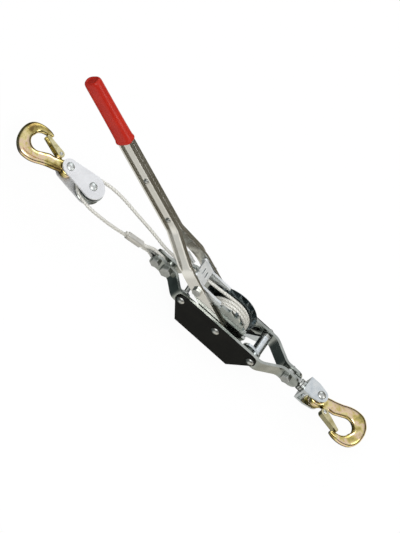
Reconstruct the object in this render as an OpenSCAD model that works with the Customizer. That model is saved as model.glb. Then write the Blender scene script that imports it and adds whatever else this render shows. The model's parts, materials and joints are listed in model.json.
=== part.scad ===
// Hand ratchet cable puller: strap frame, ratchet drum, forked lever, load block and two hooks.
// Built round the drum axle, then placed with the origin at the centre of the anchor hook's bowl.
// +X runs from the load hook to the anchor hook, +Z is up.

/* [Frame straps] */
// Thickness of the strap bar
strap_t = 4; // [3:0.5:5]
// Height of the strap bar
strap_w = 22; // [20:1:26]
// Distance from the axle to each cross bolt
cross_x = 61; // [60:1:64]
// Distance from the axle to the front bend
front_bend = 72; // [70:1:75]
// Length of the front run in
front_run = 17; // [15:1:20]
// Distance from the axle to the rear bend
rear_bend = 73; // [71:1:76]
// Length of the rear run in
rear_run = 28; // [24:1:30]
// Gap between the straps at both ends
end_gap = 6; // [5.8:0.1:7]
// Distance from the axle to the clamp bolt in the nose
clamp_x = 99; // [98:1:101]
// Distance from the axle to the rope bolt in the nose
rope_bolt_x = 117; // [116:1:122]
// Strap length past the rope bolt
nose_over = 7; // [6:0.5:9]
// Distance from the axle to the tail bolt
tail_x = 113; // [111:1:118]
// Strap length past the tail bolt
tail_over = 18; // [14:1:18]
// Distance from the axle to the spare hole
spare_x = 47; // [40:1:50]
// Diameter of the spare hole
spare_d = 5; // [4:0.5:6]

/* [Side plates] */
// Thickness of a side plate
plate_t = 2; // [1.5:0.5:3]
// Depth of the side plates below the axle
plate_drop = 38.5; // [38.5:0.5:46]
// Height of the side plates above the axle
plate_rise = 10; // [9:0.5:12]
// Half length of the lower edge
plate_foot = 45; // [38:1:50]
// Radius round the cross bolts
plate_end_r = 8; // [7:0.5:9.5]

/* [Fasteners] */
// Axle diameter
axle_d = 8; // [7:0.5:10]
// Cross bolt diameter
cross_d = 6.5; // [5:0.5:8]
// Diameter of the bolts in the nose and the tail
end_d = 8; // [6:0.5:8]
// Diameter of the domed heads
head_d = 12; // [10:0.5:13]
// Height of the domed heads
head_h = 4; // [3:0.5:5]
// Width of the hex nuts across flats
nut_w = 11; // [10:0.5:13]
// Height of the hex nuts
nut_h = 4; // [3:0.5:6]
// Width of the large hex in the nose across flats
big_nut_w = 15; // [13:0.5:16]
// Length of a locking nut on the front cross bolt
lock_nut_h = 7; // [5:0.5:7]
// Width of a locking nut across flats
lock_nut_w = 13; // [11:0.5:13]
// Diameter of the sleeve on the rear cross bolt
sleeve_d = 11; // [10:0.5:12]
// Clearance round a fixed shank
fit = 0.05; // [0.02:0.01:0.1]
// Clearance round a turning shank
run_fit = 0.08; // [0.04:0.01:0.1]
// Gap between faces that slide past each other
slide_gap = 0.2; // [0.15:0.05:0.3]

/* [Drum] */
// Width of the rope space
drum_w = 22; // [21.6:0.1:28]
// Thickness of a flange disc
flange_t = 1; // [0.8:0.1:1.5]
// Radius of the flange discs
flange_r = 34.5; // [34:0.5:36]
// Radius of the guard disc outside the far gear
guard_r = 39; // [38.5:0.5:41]
// Thickness of the guard disc
guard_t = 0.8; // [0.5:0.1:0.8]
// Thickness of a ratchet gear
gear_t = 4; // [3.5:0.5:6]
// Radius of the ratchet gears over the teeth
gear_r = 38; // [37:0.5:38]
// Depth of a ratchet tooth
tooth_h = 5; // [3:0.5:5]
// Number of ratchet teeth
teeth = 18; // [12:1:24]
// Radius of the drum hubs
hub_r = 9; // [7:0.5:11]
// Gap between a gear and the lever
lever_gap = 1; // [0.6:0.1:2]

/* [Rope] */
// Rope diameter
rope_d = 4.8; // [4.4:0.1:5]
// Radius of the outer layer at the rope's centre
wind_r = 30.2; // [28:0.1:30.6]
// Gap between two turns of the rope
wind_gap = 0.5; // [0.45:0.05:0.8]
// Turns in the outer layer
wind_turns = 3; // [2:1:3]
// Gap between the rope and what it lies on
rope_gap = 0.3; // [0.2:0.05:0.5]
// Length of the ferrule
ferrule_l = 24.5; // [20:0.5:28]
// Height of the ferrule
ferrule_w = 12.5; // [11:0.5:14]
// Thickness of the ferrule
ferrule_t = 8.5; // [7:0.5:10]
// Length of the cut rope end past the ferrule
stub_l = 4; // [2:0.5:8]

/* [Lever] */
// Angle of the lever above the line to the load
lever_tilt = 27.5; // [24:0.5:40]
// Length of the lever from the axle to the end of the grip
lever_l = 414; // [384:1:430]
// Thickness of the pressed halves
leg_t = 3.5; // [2.5:0.25:4]
// Width of the lever blade
blade_w = 18.5; // [16:0.5:19]
// Distance from the axle to the end of the straight fork legs
fork_in = 92; // [88:1:98]
// Distance from the axle to where the two halves meet
fork_out = 155; // [145:1:165]
// Depth of the pressed flanges
flange_d = 3.2; // [2:0.2:5]
// Thickness of the pressed flanges
lip_t = 2.4; // [1.8:0.2:3]
// Gap between the two halves
half_gap = 0.2; // [0.1:0.1:0.4]
// Gap between a lever leg and the strap beside it
strap_gap = 1; // [0.6:0.1:2]
// Distance from the axle to the first rivet
rivet_1 = 172; // [165:1:180]
// Distance from the axle to the second rivet
rivet_2 = 240; // [225:1:260]
// Diameter of the lever rivet heads
rivet_d = 8.6; // [7:0.2:10]
// Height of the lever rivet heads
rivet_h = 2.6; // [2:0.2:3.2]
// Distance from the axle to the spring tab
tab_u = 130; // [126:1:134]

/* [Grip] */
// Length of the grip
grip_l = 106; // [100:1:125]
// Height of the grip section
grip_w = 23.5; // [23:0.5:28]
// Thickness of the grip section
grip_t = 18.5; // [18:0.5:24]
// Corner radius of the grip
grip_r = 5; // [4.5:0.5:7]
// Wall left at the closed end of the grip
grip_cap = 5; // [3:0.5:8]
// Amount that the grip's open end stands proud
grip_flare = 0.8; // [0.5:0.1:2]

/* [Pawls] */
// Thickness of a pawl cheek
cheek_t = 3.6; // [3:0.1:4]
// Distance from the axle to the drive pawl's pivot
drive_u = 63; // [61:0.5:65]
// Angle from the pivot line to the pawl nose
nose_angle = 28; // [24:1:32]
// Radius of the pawl nose
nose_r = 2; // [1.5:0.25:2.5]
// Radius of the pawl cheek round its pivot
pivot_r = 7.5; // [6.5:0.5:8]
// Diameter of the drive pawl's pivot bolts
pivot_d = 6; // [5:0.5:7]
// Length of the drive pawl's tail
tail_l = 22; // [18:1:24]
// Height of the drive pawl's web above the pivot line
web_h = 6; // [5.5:0.25:6.5]
// Thickness of the pawl webs
web_t = 2.5; // [1.5:0.25:3]
// Gap between a pawl nose and the gear
nose_gap = 0.35; // [0.3:0.05:0.5]
// Wire diameter of the springs
wire_d = 1.2; // [1:0.1:1.4]

/* [Hooks] */
// Radius of the hook eye
eye_r = 12; // [10.5:0.5:12]
// Half thickness of the hook
hook_h = 5.75; // [5:0.25:6.25]
// Radius of the hook bowl
bowl_r = 12; // [11.5:0.1:12.2]
// Turn of the load hook about its pin, away from the block's line
load_turn = 2.5; // [-10:0.5:10]
// Diameter of the hook pins
pin_d = 8; // [7:0.5:9]
// Diameter of the pins' domed heads
pin_head_d = 12; // [10:0.5:12]
// Height of the pins' domed heads
pin_head_h = 3; // [2:0.5:4]
// Half width of the latch
latch_h = 4.6; // [4:0.1:5]
// Sheet thickness of the latch
latch_t = 1.2; // [1:0.1:1.5]
// Diameter of the latch pin
latch_pin_d = 3.2; // [2.6:0.2:3.6]

/* [Anchor end] */
// Distance from the axle to the outside of the clevis bridge
clevis_x = 139; // [138:0.5:142]
// Thickness of the clevis
clevis_t = 3; // [2.5:0.25:4]
// Width of the clevis
clevis_w = 25; // [20:1:28]
// Gap between the clevis ears
ear_gap = 20; // [18:0.5:22]
// Radius of the ear ends
ear_r = 9.75; // [8.5:0.25:11]
// Length from the clevis bridge to its pin
pin_reach = 24; // [24:0.5:28]
// Diameter of the swivel neck
neck_d = 8; // [7:0.5:9]
// Radius of the swivel eye
swivel_r = 9; // [8:0.5:10]
// Diameter of the swivel collar and washer
collar_d = 16; // [14:0.5:18]
// Thickness of the swivel washer
washer_t = 3.4; // [2:0.2:3.6]

/* [Load block] */
// Distance from the axle to the sheave pin
sheave_x = 247; // [240:1:255]
// Height of the load block above the axle
block_z = 12; // [11:0.5:13]
// Distance from the sheave pin to the hook pin
block_l = 40; // [38:1:44]
// Radius of the plates round the sheave
plate_r1 = 18; // [17:0.5:20]
// Radius of the plates round the hook pin
plate_r2 = 11.5; // [10:0.5:13]
// Thickness of the block plates
cheek_plate_t = 2.5; // [2:0.25:3]
// Gap between the block plates
block_gap = 15; // [13.5:0.5:16]
// Radius of the rope's centre on the sheave
sheave_rope_r = 18.4; // [18:0.1:18.8]
// Radius of the sheave over its rims
sheave_r = 19.5; // [18.5:0.5:20.5]
// Width of the sheave rims
sheave_w = 10; // [8:0.5:11]
// Radius of the sheave bush
bush_r = 6; // [5.5:0.25:7]

/* [Hidden] */
$fn = 48;
pi2 = 2 * PI;

// Layers across the frame, measured from the middle plane.
flange_y = drum_w / 2;
gear_y = flange_y + flange_t;
gear_out = gear_y + gear_t;
leg_y = gear_out + lever_gap;
leg_out = leg_y + leg_t;
strap_y = leg_out + strap_gap;
plate_y = strap_y + strap_t;
head_y = plate_y + plate_t;
end_y = end_gap / 2;
end_out = end_y + strap_t;
cheek_y = gear_y + slide_gap;

// Where things lie along X.
hook_x = clevis_x + pin_reach;
load_x = -(sheave_x + block_l);
bowl = [51, -3];
latch_at = [18, -10.5];
latch_to = [44, -19.3];
origin_x = hook_x + bowl[0];
origin_y = bowl[1];

core_r = wind_r - rope_d / 2 - rope_gap;
wind_pitch = rope_d + wind_gap;
wind_y = wind_turns * wind_pitch / 2;
wind_start = 95;
root_r = gear_r - tooth_h;
web_y = half_gap / 2 + leg_t;
spring_r = 2.6;
spring_turns = 9;
torsion_turns = 3;

// Free rope, from the ferrule round the sheave and back to the drum.
rope_run = [
    [-171.1, -11.5, 5.4], [-175.8, -12.6, 6], [-188, -16.4, 7.9], [-203, -20.2, 10.3], [-218, -22.4, 11.8],
    [-232, -22.8, 12],
    [-244, -20.8, 12], [-253.4, -17.2, 12], [-260, -13, 12], [-264.2, -6.6, 12], [-265.4, 0, 12],
    [-264.2, 6.6, 12], [-260, 13, 12], [-253, 18.4, 12], [-244, 22, 12], [-233, 24.6, 12],
    [-221, 26, 12], [-206, 25.4, 12.4], [-190, 22.8, 13], [-173, 19.4, 13.6], [-155, 16, 14.4],
    [-138, 12, 15.4], [-122, 7.4, 16.8], [-108, 5.4, 18.4], [-94, 5.6, 20], [-78, 6.2, 21.8],
    [-60, 6.9, 23.85], [-42, 7.4, 25.9], [-24, 7.7, 27.9]];

// Steps for points and paths.
function arc(c, r, a0, a1, n) = [for (k = [0:n]) let (a = a0 + (a1 - a0) * k / n)
    c + r * [cos(a), sin(a)]];
function unit(v) = v / norm(v);
function seg_n(a, b) = let (d = unit(b - a)) [-d[1], d[0]];
function side(p, i, d) =
    i == 0 ? p[0] + d * seg_n(p[0], p[1]) :
    i == len(p) - 1 ? p[i] + d * seg_n(p[i - 1], p[i]) :
    let (m = seg_n(p[i - 1], p[i]) + seg_n(p[i], p[i + 1])) p[i] + d * 2 * m / (m * m);
function ribbon(p, t) = concat(
    [for (i = [0:len(p) - 1]) side(p, i, t / 2)],
    [for (i = [len(p) - 1:-1:0]) side(p, i, -t / 2)]);
function bend(p, i, l, n) = let (a = p[i] + l * unit(p[i - 1] - p[i]),
    b = p[i] + l * unit(p[i + 1] - p[i]))
    [for (k = [0:n]) let (t = k / n) (1 - t) * (1 - t) * a + 2 * t * (1 - t) * p[i] + t * t * b];
function bent(p, l, n) = concat([p[0]],
    [for (i = [1:len(p) - 2]) each bend(p, i, l, n)], [p[len(p) - 1]]);
function tangent(p, i) = unit(p[min(i + 1, len(p) - 1)] - p[max(i - 1, 0)]);
// A smooth line through hand-set points, with n steps between each pair.
function spline_at(a, b, c, d, t) = 0.5 * (2 * b + (c - a) * t
    + (2 * a - 5 * b + 4 * c - d) * t * t + (3 * b - a - 3 * c + d) * t * t * t);
function spline(p, n) = concat([for (i = [0:len(p) - 2]) let (
    a = p[max(i - 1, 0)], d = p[min(i + 2, len(p) - 1)])
    for (k = [0:n - 1]) spline_at(a, p[i], p[i + 1], d, k / n)], [p[len(p) - 1]]);

// Skin over rings of n points each, closed at both ends, all triangles.
module skin(rings, n) {
    m = len(rings);
    pts = [for (r = rings) each r];
    walls = [for (i = [0:m - 2]) for (k = [0:n - 1]) let (
        a = i * n + k,
        b = i * n + (k + 1) % n) each [[a, b + n, b], [a, a + n, b + n]]];
    first = [for (k = [1:n - 2]) [0, k, k + 1]];
    e = (m - 1) * n;
    last = [for (k = [1:n - 2]) [e, e + k + 1, e + k]];
    polyhedron(points = pts, faces = concat(walls, first, last), convexity = 6);
}

// Round tube along a path; ref is a direction that the path never follows.
module tube(path, r, n, ref) {
    skin([for (i = [0:len(path) - 1]) let (
        t = tangent(path, i),
        a = unit(cross(t, ref)),
        b = cross(t, a))
        [for (k = [0:n - 1]) path[i] + r * (cos(360 * k / n) * a + sin(360 * k / n) * b)]], n);
}

module place() {
    translate([-origin_x, -origin_y, 0])
        children();
}

// Cylinder along Y from y0 to y1.
module rod_y(r, y0, y1) {
    translate([0, y0, 0])
        rotate([-90, 0, 0])
            cylinder(r = r, h = y1 - y0);
}

module rod_x(r, x0, x1) {
    translate([x0, 0, 0])
        rotate([0, 90, 0])
            cylinder(r = r, h = x1 - x0);
}

module hex_y(w, y0, y1) {
    translate([0, y0, 0])
        rotate([-90, 0, 0])
            rotate([0, 0, 30])
                cylinder(d = w / cos(30), h = y1 - y0, $fn = 6);
}

// Domed head standing on z = 0.
module dome(d, h) {
    rise = h * 0.75;
    ball = (d * d / 4 + rise * rise) / (2 * rise);
    intersection() {
        cylinder(d = d, h = h);
        translate([0, 0, h - ball])
            sphere(r = ball);
    }
}

// Two circles and the straight flanks between them.
module egg(r1, r2, d) {
    a = acos((r1 - r2) / d);
    polygon(concat(arc([0, 0], r1, a, 360 - a, 28), arc([d, 0], r2, -a, a, 14)));
}

module egg_to(r1, r2, from, to) {
    v = to - from;
    translate(from)
        rotate(atan2(v[1], v[0]))
            egg(r1, r2, norm(v));
}

// Plane XY shape stood up in XZ and given a span in Y.
module stand(y0, y1) {
    translate([0, y1, 0])
        rotate([90, 0, 0])
            linear_extrude(y1 - y0)
                children();
}

// Lever frame: +X along the lever, +Z towards its upper edge.
module lever_frame() {
    rotate([0, lever_tilt, 0])
        mirror([1, 0, 0])
            children();
}

// Far strap. The near one is its mirror image.
module strap() {
    mid = strap_y + strap_t / 2;
    low = end_y + strap_t / 2;
    line = [[-rope_bolt_x - nose_over, low], [-front_bend - front_run, low],
        [-front_bend, mid], [rear_bend, mid], [rear_bend + rear_run, low],
        [tail_x + tail_over, low]];
    x0 = -rope_bolt_x - nose_over;
    x1 = tail_x + tail_over;
    r = strap_w / 2;
    difference() {
        intersection() {
            linear_extrude(strap_w, center = true)
                polygon(ribbon(bent(line, 5, 4), strap_t));
            stand(0, plate_y + 1) {
                translate([x0 + 6, -r])
                    square([x1 - x0 - 6 - r, strap_w]);
                translate([x0, -r + 6])
                    square([10, strap_w - 12]);
                for (s = [-1, 1])
                    translate([x0 + 6, s * (r - 6)])
                        circle(r = 6);
                translate([x1 - r, 0])
                    circle(r = r);
            }
        }
        rod_y(axle_d / 2 + fit, 0, 40);
        for (x = [-cross_x, cross_x])
            translate([x, 0, 0])
                rod_y(cross_d / 2 + fit, 0, 40);
        for (x = [-rope_bolt_x, -clamp_x, tail_x])
            translate([x, 0, 0])
                rod_y(end_d / 2 + fit, 0, 20);
        translate([spare_x, 0, 0])
            rod_y(spare_d / 2, 0, 40);
        translate([-clamp_x, 0, 0])
            rod_y(big_nut_w / 1.73 + 0.2, end_out, end_out + nut_h + 3);
    }
}

module side_plate() {
    e = plate_end_r;
    difference() {
        stand(plate_y, plate_y + plate_t) {
            polygon([[-plate_foot, -plate_drop], [plate_foot, -plate_drop],
                [cross_x + e * 0.87, -e * 0.5], [cross_x + e * 0.6, e * 0.8],
                [cross_x - 6, plate_rise], [-cross_x + 6, plate_rise],
                [-cross_x - e * 0.6, e * 0.8], [-cross_x - e * 0.87, -e * 0.5]]);
            for (x = [-cross_x, cross_x])
                translate([x, 0])
                    circle(r = e);
        }
        rod_y(axle_d / 2 + fit, 0, 40);
        for (x = [-cross_x, cross_x])
            translate([x, 0, 0])
                rod_y(cross_d / 2 + fit, 0, 40);
    }
}

// Domed bolt along Y with its head on the near side.
module dome_bolt(d) {
    rod_y(d / 2, -head_y, head_y + nut_h + 1);
    translate([0, -head_y, 0])
        rotate([90, 0, 0])
            dome(head_d, head_h);
}

module hex_nut(d, w, y0, h) {
    difference() {
        hex_y(w, y0, y0 + h);
        rod_y(d / 2 + fit, y0 - 1, y0 + h + 1);
    }
}

// Hex bolt across one of the frame's ends.
module end_bolt(w) {
    rod_y(end_d / 2, -end_out - 1, end_out + nut_h + 1.5);
    hex_y(w, -end_out - nut_h - 1, -end_out);
}

module near_frame_strap() {
    color("gainsboro")
        mirror([0, 1, 0])
            strap();
}

module far_frame_strap() {
    color("gainsboro")
        strap();
}

module near_side_plate() {
    color([0.06, 0.06, 0.06])
        mirror([0, 1, 0])
            side_plate();
}

module far_side_plate() {
    color([0.06, 0.06, 0.06])
        side_plate();
}

module drum_axle() {
    color("silver")
        dome_bolt(axle_d);
}

module cross_bolts() {
    color("silver")
        for (x = [-cross_x, cross_x])
            translate([x, 0, 0])
                dome_bolt(cross_d);
}

module frame_nuts() {
    color("silver") {
        hex_nut(axle_d, nut_w + axle_d - cross_d, head_y, nut_h);
        for (x = [-cross_x, cross_x])
            translate([x, 0, 0])
                hex_nut(cross_d, nut_w, head_y, nut_h);
    }
}

module front_lock_nuts() {
    color("lightsteelblue")
        translate([-cross_x, 0, 0])
            for (s = [0, 1])
                mirror([0, s, 0])
                    hex_nut(cross_d, lock_nut_w, strap_y - lock_nut_h, lock_nut_h);
}

module rear_sleeve() {
    color("silver")
        translate([cross_x, 0, 0])
            difference() {
                rod_y(sleeve_d / 2, -strap_y, strap_y);
                rod_y(cross_d / 2 + fit, -strap_y - 1, strap_y + 1);
            }
}

module nose_clamp_bolt() {
    color("silver")
        translate([-clamp_x, 0, 0])
            end_bolt(big_nut_w);
}

module nose_spacer() {
    color("silver")
        translate([-clamp_x, 0, 0])
            difference() {
                rod_y(end_d / 2 + 2, -end_y, end_y);
                rod_y(end_d / 2 + fit, -end_y - 1, end_y + 1);
            }
}

module rope_bolt() {
    color("silver")
        translate([-rope_bolt_x, 0, 0])
            end_bolt(nut_w + 1);
}

module tail_bolt() {
    color("silver")
        translate([tail_x, 0, 0])
            end_bolt(nut_w + 1.5);
}

module end_nuts() {
    color("silver") {
        translate([-clamp_x, 0, 0])
            hex_nut(end_d, big_nut_w, end_out, nut_h);
        translate([-rope_bolt_x, 0, 0])
            hex_nut(end_d, nut_w + 1, end_out, nut_h);
        translate([tail_x, 0, 0])
            hex_nut(end_d, nut_w + 1.5, end_out, nut_h);
    }
}

// Rope eye at the nose, in a plane that rises with the rope.
eye_in = end_d / 2 + rope_gap;
eye_floor = eye_in + 1.3;
eye_line = eye_floor + rope_gap + rope_d / 2;
eye_rise = 10;
eye_reach = 30.5;
strand = rope_d / 2 + 0.4;
ferrule_yaw = 13;
ferrule_off = 6;
ferrule_up = 7;

module eye_frame() {
    translate([-rope_bolt_x, 0, 0])
        rotate([0, eye_rise, 0])
            mirror([1, 0, 0])
                children();
}

// Teardrop round the bolt.
module drop(r, l) {
    a = acos(r / l);
    polygon(concat(arc([0, 0], r, a, 360 - a, 28), [[l, 0]]));
}

module rope_thimble() {
    lip = end_y - 0.1 - rope_d / 2 - 0.1;
    color("silver")
        eye_frame()
            difference() {
                union() {
                    stand(-end_y + 0.1, end_y - 0.1)
                        drop(eye_floor, eye_reach - 11.5);
                    for (s = [0, 1])
                        mirror([0, s, 0])
                            stand(rope_d / 2 + 0.1, end_y - 0.1)
                                drop(eye_floor + 2, eye_reach - 9.5);
                }
                stand(-10, 10)
                    drop(eye_in, eye_reach - 15.5);
            }
}

// Frame at the ferrule's front face, X along the ferrule.
module ferrule_frame() {
    eye_frame()
        translate([eye_reach, -ferrule_off, 0])
            rotate([0, 0, -ferrule_yaw])
                rotate([0, -(ferrule_up - eye_rise), 0])
                    children();
}

// Point of the ferrule's frame, seen from the eye's frame.
function in_ferrule(x, z) = let (
    t = ferrule_up - eye_rise,
    q = x * cos(t) - z * sin(t))
    [eye_reach + q * cos(ferrule_yaw), -ferrule_off - q * sin(ferrule_yaw), x * sin(t) + z * cos(t)];

module rope_ferrule() {
    r = ferrule_t / 2;
    color("gainsboro")
        ferrule_frame()
            rotate([0, 90, 0])
                linear_extrude(ferrule_l) {
                    for (s = [-1, 1])
                        translate([s * (ferrule_w / 2 - r), 0])
                            circle(r = r);
                    square([ferrule_w - ferrule_t, ferrule_t], center = true);
                }
}

module wire_rope_eye() {
    a0 = acos(eye_line / norm([eye_reach - 5, strand])) + atan2(strand, eye_reach - 5);
    arc = [for (k = [0:14]) let (a = a0 + k * (360 - 2 * a0) / 14)
        [eye_line * cos(a), 0, eye_line * sin(a)]];
    bend_x = eye_reach - 16;
    bend_z = strand + 0.7 + 9 * (eye_line * sin(a0) - strand - 0.7)
        / (eye_reach - 7 - eye_line * cos(a0));
    path = concat(
        [in_ferrule(-0.02, strand), in_ferrule(-2.5, strand), in_ferrule(-7, strand + 0.7),
        [bend_x, -0.2, bend_z]],
        arc,
        [[bend_x, -0.2, -bend_z], in_ferrule(-7, -strand - 0.7), in_ferrule(-2.5, -strand),
        in_ferrule(-0.02, -strand)]);
    color("gainsboro") {
        eye_frame()
            tube(path, rope_d / 2, 8, [0, 1, 0]);
        ferrule_frame()
            translate([0, 0, strand])
                rod_x(rope_d / 2, ferrule_l, ferrule_l + stub_l);
    }
}

module wire_rope_run() {
    top = [wind_r * cos(wind_start), wind_y, wind_r * sin(wind_start)];
    back = [-sin(wind_start), 0, cos(wind_start)];
    join = top + rope_d * back;
    line = concat(rope_run, [join + 6 * back, join + 0.05 * back]);
    color("gainsboro")
        tube(spline(line, 2), rope_d / 2, 8, [0, 0, 1]);
}

// Coil of wire round Y, with straight ends.
module coil_y(r, turns, pitch, d, n) {
    path = concat([[r, 0, -d]],
        [for (k = [0:turns * n]) let (a = 360 * k / n)
            [r * cos(a), pitch * k / n, r * sin(a)]],
        [[r, turns * pitch, d]]);
    tube(path, d / 2, 6, [0, 1, 0]);
}

module stop_pawl_spring() {
    w = wire_d;
    room = strap_y - (cheek_y + cheek_t) - 2 * (w / 2 + slide_gap);
    r = (sleeve_d / 2 + w / 2 + 0.2) / cos(22.5);
    color("silver")
        translate([cross_x, cheek_y + cheek_t + w / 2 + slide_gap, 0])
            coil_y(r, torsion_turns, min(room / torsion_turns, w + 0.6), w, 8);
}

// Drum.
module drum_core() {
    end = [wind_r * cos(wind_start), -wind_y, wind_r * sin(wind_start)];
    along = [sin(wind_start), 0, -cos(wind_start)];
    butt = end + rope_d * along;
    color("dimgray")
        difference() {
            union() {
                rod_y(core_r, -flange_y, flange_y);
                rod_y(hub_r, -leg_y + slide_gap, leg_y - slide_gap);
                translate(butt)
                    rotate([0, 90 - wind_start, 0])
                        translate([0, -rope_d / 2, -rope_d / 2 - 2])
                            mirror([0, 0, 0])
                                cube([4, rope_d, rope_d + 1]);
            }
            rod_y(axle_d / 2 + run_fit, -30, 30);
        }
}

module flange() {
    difference() {
        rod_y(flange_r, flange_y, gear_y);
        rod_y(hub_r + fit, flange_y - 1, gear_y + 1);
    }
}

module near_flange() {
    color("silver")
        mirror([0, 1, 0])
            flange();
}

module far_flange() {
    color([0.1, 0.12, 0.15])
        flange();
}

module far_guard_disc() {
    color([0.1, 0.12, 0.15])
        difference() {
            rod_y(guard_r, gear_out, gear_out + guard_t);
            rod_y(hub_r + fit, gear_out - 1, gear_out + guard_t + 1);
        }
}

// Saw teeth: each flank rises with the angle, then drops.
module ratchet_gear() {
    step = 360 / teeth;
    difference() {
        stand(gear_y, gear_out)
            polygon([for (i = [0:teeth - 1]) for (q = [[root_r, 0.06], [root_r + tooth_h * 0.25, 0.3],
                [gear_r, 0.86], [gear_r, 0.96]])
                q[0] * [cos((i + q[1]) * step), sin((i + q[1]) * step)]]);
        rod_y(hub_r + fit, gear_y - 1, gear_out + 1);
    }
}

module near_ratchet_gear() {
    color("silver")
        mirror([0, 1, 0])
            ratchet_gear();
}

module far_ratchet_gear() {
    color([0.1, 0.12, 0.15])
        ratchet_gear();
}

wind_n = 24;
wind_path = let (
    a0 = wind_start,
    p0 = [wind_r * cos(a0), wind_y, wind_r * sin(a0)],
    p1 = [wind_r * cos(a0), -wind_y, wind_r * sin(a0)],
    v = [sin(a0), 0, -cos(a0)])
    concat([p0 - rope_d * v],
        [for (k = [0:wind_turns * wind_n]) let (a = a0 - 360 * k / wind_n)
            [wind_r * cos(a), wind_y - wind_pitch * k / wind_n, wind_r * sin(a)]],
        [p1 + rope_d * v]);
wind_least = min([for (i = [0:len(wind_path) - 1]) for (j = [i + wind_n / 2:1:len(wind_path) - 1])
    norm(wind_path[i] - wind_path[j])]) - rope_d;
echo(least_gap_between_rope_turns = wind_least);

module wound_rope() {
    color("gainsboro")
        tube(wind_path, rope_d / 2, 6, [0, 1, 0]);
}

// Far half of the lever, in the lever frame.
module lever_half() {
    mid = leg_y + leg_t / 2;
    low = (half_gap + leg_t) / 2;
    steel = lever_l - grip_cap;
    r = blade_w / 2;
    line = [[0, mid], [fork_in, mid], [fork_out, low], [steel, low]];
    top = web_y + flange_d;
    difference() {
        union() {
            linear_extrude(blade_w, center = true)
                polygon(ribbon(bent(line, 8, 4), leg_t));
            rod_y(r, leg_y, leg_out);
            for (s = [0, 1])
                mirror([0, 0, s])
                    translate([0, 0, r - lip_t])
                        linear_extrude(lip_t)
                            polygon([[steel, web_y - 1], [steel, top], [fork_out + 1, top],
                                [fork_in + 14, leg_out - 0.6], [fork_in + 5, leg_out - 0.6],
                                [fork_out, web_y - 1]]);
        }
        rod_y(axle_d / 2 + run_fit, 0, 40);
        translate([drive_u, 0, 0])
            rod_y(pivot_d / 2 + fit, 0, 40);
        for (u = [rivet_1, rivet_2])
            translate([u, 0, 0])
                rod_y(2.5 + fit, -1, 20);
    }
}

tab_y = leg_y + (tab_u - fork_in) / (fork_out - fork_in) * (half_gap / 2 - leg_y);

module near_lever_half() {
    color("gainsboro")
        lever_frame()
            mirror([0, 1, 0]) {
                lever_half();
                translate([tab_u - 1.25, tab_y - 6, -4])
                    cube([2.5, 8, 8]);
            }
}

module far_lever_half() {
    color("gainsboro")
        lever_frame()
            lever_half();
}

module lever_rivets() {
    color("silver")
        lever_frame()
            for (u = [rivet_1, rivet_2])
                translate([u, 0, 0]) {
                    rod_y(2.5, -web_y, web_y);
                    for (s = [0, 1])
                        mirror([0, s, 0])
                            translate([0, web_y, 0])
                                rotate([-90, 0, 0])
                                    dome(rivet_d, rivet_h);
                }
}

module grip_section(extra) {
    a = grip_w / 2 - grip_r + extra;
    b = grip_t / 2 - grip_r + extra;
    for (s = [-1, 1])
        for (t = [-1, 1])
            translate([s * a, t * b])
                circle(r = grip_r, $fn = 32);
    square([2 * a, 2 * (b + grip_r)], center = true);
    square([2 * (a + grip_r), 2 * b], center = true);
}

// Rounded closed end: corner balls, edge rods and the flat between them.
module grip_end() {
    a = grip_w / 2 - grip_r;
    b = grip_t / 2 - grip_r;
    for (s = [-1, 1]) {
        for (t = [-1, 1])
            translate([0, t * b, s * a])
                sphere(r = grip_r, $fn = 32);
        translate([0, 0, s * a])
            rod_y(grip_r, -b, b, $fn = 32);
        translate([0, s * b, -a])
            cylinder(r = grip_r, h = 2 * a, $fn = 32);
    }
    translate([-1, -b, -a])
        cube([grip_r + 1, 2 * b, 2 * a]);
}

module lever_grip() {
    u0 = lever_l - grip_l;
    u1 = lever_l - grip_r;
    color([0.8, 0.07, 0.06])
        lever_frame()
            difference() {
                union() {
                    translate([u0, 0, 0])
                        rotate([0, 90, 0])
                            linear_extrude(grip_l - grip_r)
                                grip_section(0);
                    translate([u0, 0, 0])
                        rotate([0, 90, 0])
                            linear_extrude(4)
                                grip_section(grip_flare);
                    translate([u1, 0, 0])
                        grip_end();
                }
                translate([lever_l - 1.6, 0, 0])
                    rotate([0, 90, 0])
                        linear_extrude(4)
                            offset(r = -1.2)
                                square([grip_w - 2 * grip_r, grip_t - 2 * grip_r], center = true);
                translate([u0 - 1, -web_y - flange_d - 0.1, -blade_w / 2 - 0.1])
                    cube([grip_l - grip_cap + 1.1, 2 * (web_y + flange_d + 0.1), blade_w + 0.2]);
            }
}

module pawl_pivot_bolts() {
    color("silver")
        lever_frame()
            translate([drive_u, 0, 0])
                for (s = [0, 1])
                    mirror([0, s, 0]) {
                        rod_y(pivot_d / 2, flange_y + 0.2, leg_out);
                        hex_y(lock_nut_w - 1.5, leg_out, leg_out + nut_h);
                    }
}

module pawl_bushes() {
    color("silver")
        lever_frame()
            translate([drive_u, 0, 0])
                for (s = [0, 1])
                    mirror([0, s, 0])
                        difference() {
                            rod_y(pivot_d / 2 + 2, cheek_y + cheek_t + slide_gap, leg_y);
                            rod_y(pivot_d / 2 + fit, 0, 30);
                        }
}

// Pawl cheek seen along Y: pivot at [p, 0], the gear's centre at the origin.
module pawl_cheek(p) {
    r = gear_r + nose_gap + nose_r;
    egg_to(pivot_r, nose_r, [p, 0], [r * cos(nose_angle), r * sin(nose_angle)]);
}

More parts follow.
